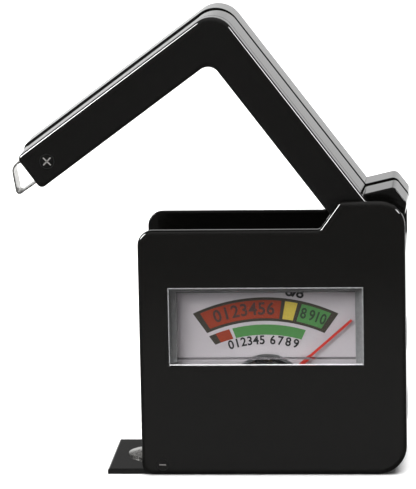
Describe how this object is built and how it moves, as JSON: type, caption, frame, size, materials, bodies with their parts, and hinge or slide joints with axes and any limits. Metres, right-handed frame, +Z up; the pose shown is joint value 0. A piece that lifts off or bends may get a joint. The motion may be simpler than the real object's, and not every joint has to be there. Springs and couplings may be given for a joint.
{
  "type": "battery tester",
  "caption": "Pocket battery tester: flat black case with a pointer meter behind a clear window, a hinged L-shaped contact arm above and a contact foot at the side.",
  "frame": {"origin": "middle of the case's base, halfway between the front and back plates", "axes": "+X to the right as the dial is read, +Y from the dial to the back, +Z up"},
  "size_m": [0.0704, 0.0241, 0.0817],
  "materials": {
    "case_black": "moulded black plastic, polished",
    "arm_black": "moulded black plastic, polished",
    "clear_plastic": "clear moulded plastic",
    "dial_white": "pale printed card on metal",
    "frame_black": "matte black plastic",
    "bridge_black": "blackened metal",
    "soft_iron": "zinc plated soft iron",
    "magnet_grey": "sintered magnet",
    "brass": "turned brass",
    "bronze_spring": "phosphor bronze strip",
    "aluminium": "thin sheet",
    "copper_wire": "enamelled copper wire",
    "pointer_red": "red lacquer",
    "nickel": "nickel plated spring strip",
    "steel": "bright steel",
    "resistor_tan": "lacquered resistor body",
    "insulation_red": "wire insulation",
    "insulation_black": "wire insulation"
  },
  "bodies": {
    "case": {"front_shell": "case_black", "back_shell": "case_black", "case_screws": "steel", "meter_cover": "clear_plastic", "dial_plate": "dial_white", "meter_frame": "frame_black", "yoke_ring": "soft_iron", "core_magnet": "magnet_grey", "core_bars": "brass", "movement_bridge": "bridge_black", "rear_bridge": "brass", "front_jewel_screw": "brass", "rear_jewel_screw": "brass", "front_hairspring": "bronze_spring", "rear_hairspring": "bronze_spring", "negative_contact": "nickel", "nine_volt_plus_contact": "nickel", "nine_volt_minus_contact": "nickel", "load_resistor": "resistor_tan", "series_resistor": "resistor_tan", "negative_lead": "insulation_black", "positive_lead": "insulation_red", "nine_volt_plus_lead": "insulation_red", "nine_volt_minus_lead": "insulation_black"},
    "arm": {"arm_front_half": "arm_black", "arm_back_half": "arm_black", "arm_pivot_pin": "steel", "arm_friction_washer": "steel", "positive_contact": "nickel", "arm_lead": "insulation_red"},
    "meter_movement": {"pointer": "pointer_red", "coil_bobbin": "aluminium", "coil_winding": "copper_wire", "pointer_shaft": "steel"}
  },
  "joints": [
    {"name": "arm_hinge", "type": "hinge", "parent": "case", "child": "arm", "pos_m": [0.0168, 0, 0.044], "axis": [0, 1, 0], "range_deg": [-46, 32]},
    {"name": "pointer_hinge", "type": "hinge", "parent": "case", "child": "meter_movement", "pos_m": [-0.0011, 0, 0.0142], "axis": [0, 1, 0], "range_deg": [-96, 3], "stiffness_Nm_per_rad": 0.00002}
  ]
}
